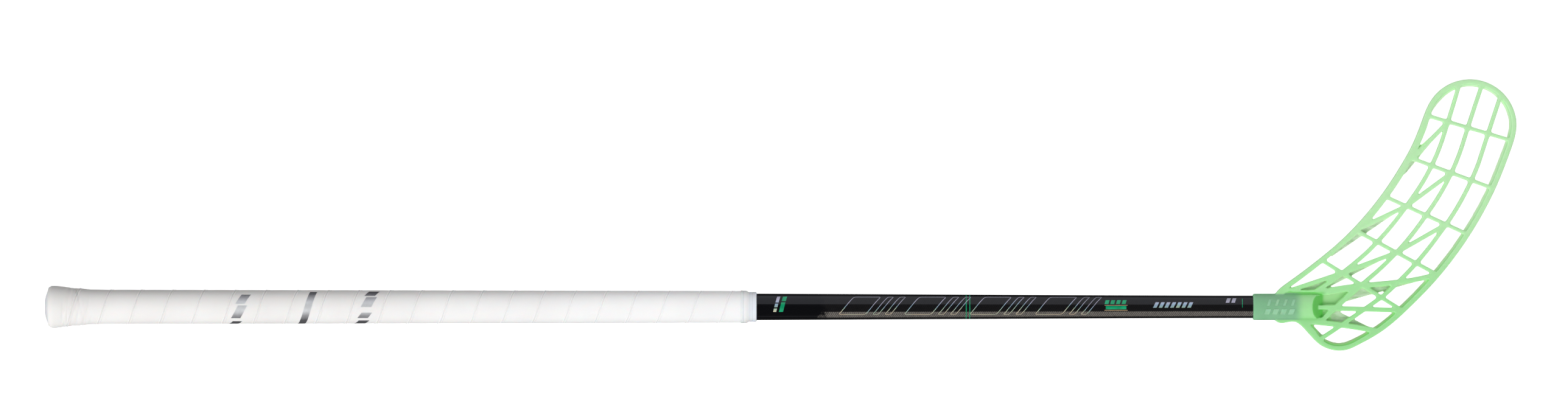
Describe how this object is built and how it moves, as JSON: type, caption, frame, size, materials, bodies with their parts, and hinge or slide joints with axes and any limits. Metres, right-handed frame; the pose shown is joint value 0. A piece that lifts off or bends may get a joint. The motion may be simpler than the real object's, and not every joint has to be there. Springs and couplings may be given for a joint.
{
  "type": "floorball stick",
  "caption": "Floorball stick: slim tapered tube shaft with a wound cushioned grip, a flared butt cap, an end collar and a curved open lattice blade on a socket.",
  "frame": {"origin": "centre of the flat disc on the butt end, on the shaft's axis", "axes": "+X along the shaft's axis from the butt to the blade, +Y towards the blade's toe, +Z out of the blade's smooth face"},
  "size_m": [1.2161, 0.2245, 0.0354],
  "materials": {
    "shaft": "gloss clear coat over dark composite",
    "cap": "satin pale moulding",
    "grip": "matte pale cushioned band",
    "collar": "satin pale ring",
    "blade": "satin translucent green moulding"
  },
  "bodies": {
    "root": {"shaft_tube": "shaft", "butt_cap": "cap", "grip_band": "grip", "finishing_collar": "collar", "blade": "blade"}
  },
  "joints": []
}
